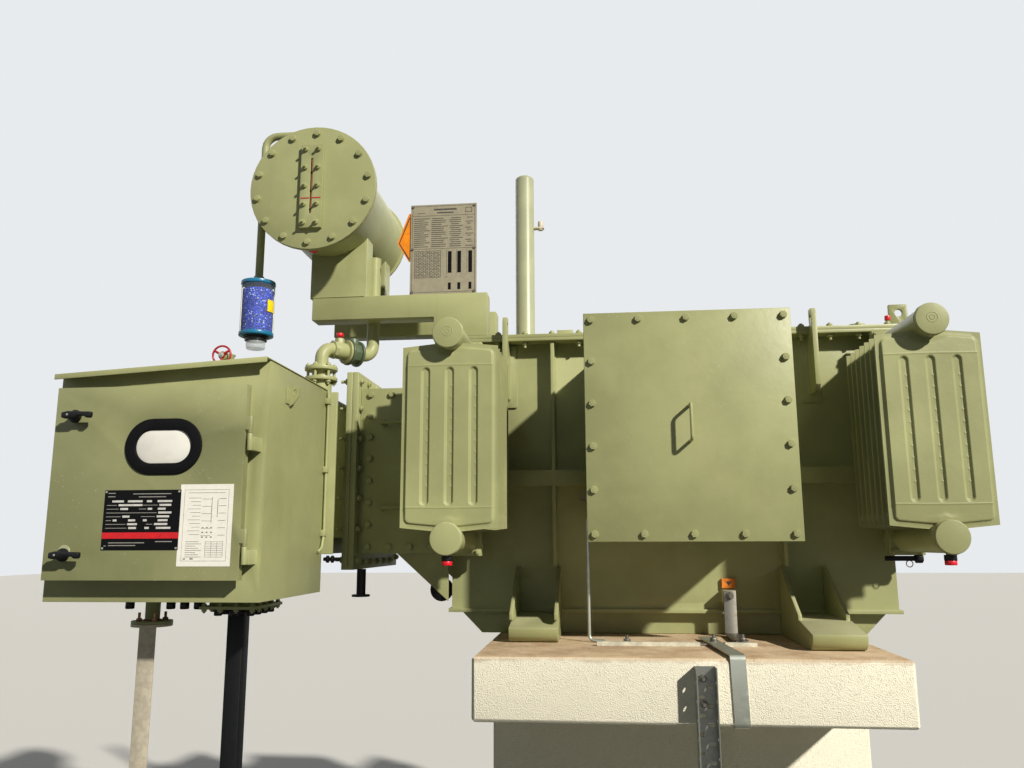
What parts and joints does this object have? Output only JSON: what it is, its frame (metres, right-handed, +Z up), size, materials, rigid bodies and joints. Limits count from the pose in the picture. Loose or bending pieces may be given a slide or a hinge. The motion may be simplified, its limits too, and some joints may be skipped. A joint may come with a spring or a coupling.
{
  "type": "oil-filled power transformer",
  "caption": "Oil-filled power transformer with radiators, bolted cable boxes, side tap changer, drive cabinet, conservator and breather, on a plastered plinth.",
  "frame": {"origin": "on the ground under the middle of the plinth's pier, which is also under the middle of the tank", "axes": "+Z up, +X along the tank away from the tap changer, -Y towards the side with the cabinet door"},
  "size_m": [2.614, 2.0753, 3.0836],
  "materials": {
    "olive_paint": "satin",
    "cream_plaster": "matte",
    "galvanised_steel": "satin",
    "black_metal": "satin",
    "black_rubber": "matte",
    "clear_glass": "gloss",
    "breather_blue": "gloss",
    "cream_paint": "satin",
    "red_paint": "satin"
  },
  "bodies": {
    "main": {"base_frame": "olive_paint", "bent_earth_rod": "galvanised_steel", "breather": "breather_blue", "breather_pipe": "olive_paint", "cabinet_body": "olive_paint", "cabinet_post": "cream_paint", "cabinet_post_rear": "black_metal", "cabinet_roof": "olive_paint", "cable_box_cover_front": "olive_paint", "cable_box_cover_rear": "olive_paint", "cable_box_front": "olive_paint", "cable_box_handle_front": "olive_paint", "cable_box_handle_rear": "olive_paint", "cable_box_rear": "olive_paint", "cable_gland_box": "olive_paint", "chamber_inspection_plate": "olive_paint", "conservator": "olive_paint", "conservator_beam_front": "olive_paint", "conservator_beam_rear": "olive_paint", "conservator_end_plate": "olive_paint", "drain_valve": "olive_paint", "earth_bar": "galvanised_steel", "earth_link": "galvanised_steel", "earth_strap": "galvanised_steel", "oil_gauge": "olive_paint", "oil_pipe_and_relay": "olive_paint", "oil_valve": "olive_paint", "plinth_pier": "cream_plaster", "plinth_slab": "cream_plaster", "post_stub": "olive_paint", "radiator_front_left": "olive_paint", "radiator_front_right": "olive_paint", "radiator_rear_left": "olive_paint", "radiator_rear_right": "olive_paint", "rating_plate": "galvanised_steel", "slotted_channel": "galvanised_steel", "tank": "olive_paint", "tank_cover": "olive_paint", "tank_rim": "olive_paint", "tap_changer_chamber": "olive_paint", "tap_changer_oil_tank": "olive_paint", "vent_pipe": "olive_paint"},
    "door": {"cabinet_door": "olive_paint", "window_seal": "black_rubber", "window_pane": "clear_glass"},
    "latch_upper": {"latch_handle_upper": "black_metal"},
    "latch_lower": {"latch_handle_lower": "black_metal"},
    "handwheel": {"valve_handwheel": "red_paint"}
  },
  "joints": [
    {"name": "cabinet_door_hinge", "type": "hinge", "parent": "main", "child": "door", "pos_m": [-1.146, -1.108, 1.7645], "axis": [0, 0, 1], "range_deg": [0, 110]},
    {"name": "latch_upper_turn", "type": "hinge", "parent": "door", "child": "latch_upper", "pos_m": [-1.64, -1.1153, 1.943], "axis": [0, 1, 0], "range_deg": [0, 90]},
    {"name": "latch_lower_turn", "type": "hinge", "parent": "door", "child": "latch_lower", "pos_m": [-1.64, -1.1153, 1.572], "axis": [0, 1, 0], "range_deg": [0, 90]},
    {"name": "handwheel_turn", "type": "hinge", "parent": "main", "child": "handwheel", "pos_m": [-1.5, -0.5453, 2.2353], "axis": [0, 1, 0], "range_deg": [0, 360]}
  ]
}
